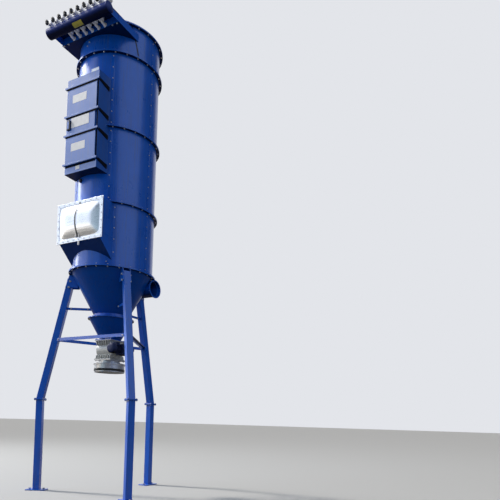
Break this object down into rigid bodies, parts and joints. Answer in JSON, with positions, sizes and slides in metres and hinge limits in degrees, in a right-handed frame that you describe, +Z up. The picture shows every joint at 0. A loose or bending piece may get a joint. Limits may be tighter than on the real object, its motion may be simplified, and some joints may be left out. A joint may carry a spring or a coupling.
{
  "type": "cyclone separator",
  "caption": "Tall round cyclone separator on bolted legs, with cones, rotary valve and bag collar below, side inlet, access doors, relief panel and an air header with valves on top",
  "frame": {"origin": "centre of the anchor bolt circles on the ground, under the axis of the round body", "axes": "+Z up along the body axis; -Y faces the access doors, the relief panel and the air header; +X points to the inlet and the valve drive"},
  "size_m": [2.2032, 2.247, 7.258],
  "materials": {
    "blue_paint": "gloss paint on steel sheet",
    "valve_silver": "die-cast, satin",
    "zinc_steel": "zinc plated, satin",
    "panel_silver": "satin",
    "cast_grey": "painted silver-grey",
    "motor_blue": "satin paint on cast aluminium",
    "black_plastic": "moulded",
    "black_webbing": "woven strap",
    "white_plate": "bare printed plate without text"
  },
  "bodies": {
    "root": {"roof_lid": "blue_paint", "clean_air_shell": "blue_paint", "header_box": "blue_paint", "header_tank": "blue_paint", "header_ends": "blue_paint", "header_brackets": "blue_paint", "diaphragm_valves": "valve_silver", "solenoid_coils": "black_plastic", "blow_pipes": "zinc_steel", "outlet_spigot": "blue_paint", "upper_shell": "blue_paint", "middle_shell": "blue_paint", "lower_shell": "blue_paint", "door_box": "blue_paint", "upper_door": "blue_paint", "lower_door": "blue_paint", "middle_panel": "blue_paint", "clamp_bars": "blue_paint", "door_lock": "black_plastic", "data_plate": "white_plate", "relief_nozzle": "blue_paint", "relief_frame": "panel_silver", "relief_panel": "panel_silver", "upper_cone": "blue_paint", "cone_neck": "blue_paint", "hopper_lid": "blue_paint", "lower_cone": "blue_paint", "inlet_duct": "blue_paint", "valve_housing": "cast_grey", "valve_covers": "cast_grey", "valve_gearbox": "motor_blue", "valve_motor": "motor_blue", "bag_collar": "zinc_steel", "bag_strap": "black_webbing", "leg_heads": "blue_paint", "leg_left_upper": "blue_paint", "leg_left_lower": "blue_paint", "leg_right_upper": "blue_paint", "leg_right_lower": "blue_paint", "leg_rear_upper": "blue_paint", "leg_rear_lower": "blue_paint", "brace_front": "blue_paint", "brace_right": "blue_paint", "brace_left": "blue_paint", "struts": "blue_paint"}
  },
  "joints": []
}
